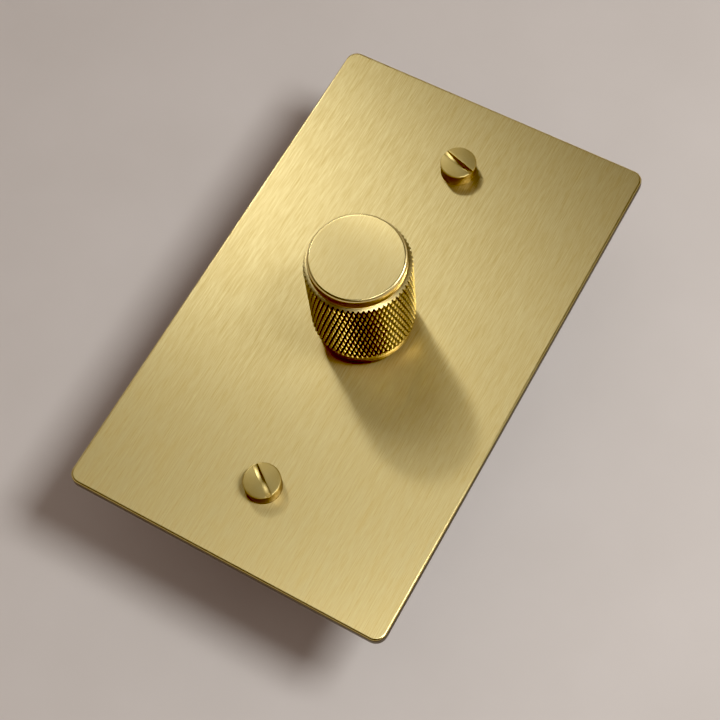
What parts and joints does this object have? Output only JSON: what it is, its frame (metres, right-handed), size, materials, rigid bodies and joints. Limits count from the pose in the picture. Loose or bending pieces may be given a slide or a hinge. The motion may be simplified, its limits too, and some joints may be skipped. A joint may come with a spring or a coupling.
{
  "type": "rotary dimmer switch",
  "caption": "Wall dimmer: brushed brass face plate with a knurled push-and-turn knob, coin-slot screws, and a control module on a strap behind.",
  "frame": {"origin": "centre of the module's flat rear face, on which the dimmer lies face up", "axes": "+X to the right of the plate, +Y up the plate, +Z out of the face towards the user"},
  "size_m": [0.073, 0.118, 0.0595],
  "materials": {
    "brushed_brass_plate": "long-grain brushed, clear lacquer",
    "turned_brass_knob": "turned, knurled and satin brushed",
    "brass_screws": "turned and satin",
    "gasket_rubber": "moulded, fine matt",
    "zinc_plated_steel": "bright zinc plated",
    "moulded_housing": "fine spark-eroded texture",
    "turned_brass_bush": "turned, threaded",
    "white_nylon": "moulded",
    "turned_aluminium": "turned",
    "spring_steel": "blued",
    "tinned_steel": "tinned",
    "phenolic_board": "punched laminate",
    "carbon_track": "screen printed",
    "silvered_contact": "silver plated",
    "black_nylon": "moulded",
    "phosphor_bronze": "rolled",
    "green_laminate": "solder resist",
    "fish_paper": "calendered",
    "powdered_iron_core": "painted ring",
    "enamelled_copper": "enamelled wire",
    "moulded_epoxy": "transfer moulded",
    "silicone_pad": "filled silicone",
    "blue_capacitor": "moulded box",
    "resistor_lacquer": "dipped lacquer",
    "diac_glass": "sealed glass",
    "fuse_case": "painted",
    "terminal_moulding": "glass-filled moulding",
    "nickel_plated_brass": "nickel plated"
  },
  "bodies": {
    "base": {"face_plate": "brushed_brass_plate", "fixing_screws": "brass_screws", "wall_gasket": "gasket_rubber", "mounting_strap": "zinc_plated_steel", "earth_screw": "brass_screws", "earth_washer": "zinc_plated_steel", "rear_housing": "moulded_housing", "housing_screws": "zinc_plated_steel", "control_bush": "turned_brass_bush", "lock_washer": "zinc_plated_steel", "bush_nut": "zinc_plated_steel", "pot_case": "tinned_steel", "track_board": "phenolic_board", "resistive_track": "carbon_track", "track_terminals": "silvered_contact", "switch_case": "black_nylon", "switch_base": "black_nylon", "fixed_contacts": "silvered_contact", "plunger_spring": "spring_steel", "circuit_board": "green_laminate", "insulating_sheet": "fish_paper", "choke_core": "powdered_iron_core", "choke_winding": "enamelled_copper", "triac": "moulded_epoxy", "triac_pad": "silicone_pad", "triac_screw": "zinc_plated_steel", "capacitor": "blue_capacitor", "resistors": "resistor_lacquer", "diac": "diac_glass", "thermal_fuse": "fuse_case", "terminal_block": "terminal_moulding", "terminal_cages": "nickel_plated_brass", "terminal_screws": "nickel_plated_brass"},
    "rotor": {"rotor": "black_nylon", "wiper": "phosphor_bronze"},
    "control": {"knob": "turned_brass_knob", "knob_insert": "white_nylon", "shaft": "turned_aluminium", "shaft_clip": "spring_steel"},
    "switch_plunger": {"plunger": "white_nylon", "contact_bridge": "silvered_contact"}
  },
  "joints": [
    {"name": "turn", "type": "hinge", "parent": "base", "child": "rotor", "pos_m": [0, 0, 0.0224], "axis": [0, 0, -1], "range_deg": [0, 300]},
    {"name": "push", "type": "slide", "parent": "rotor", "child": "control", "axis": [0, 0, -1], "range_m": [0, 0.001], "stiffness_N_per_m": 1500, "springref_m": -0.002},
    {"name": "plunger_slide", "type": "slide", "parent": "base", "child": "switch_plunger", "axis": [0, 0, -1], "range_m": [0, 0.001], "deforming": ["plunger_spring"]}
  ],
  "couplings": [
    {"joint": "plunger_slide", "follows": "push", "ratio": 1}
  ]
}
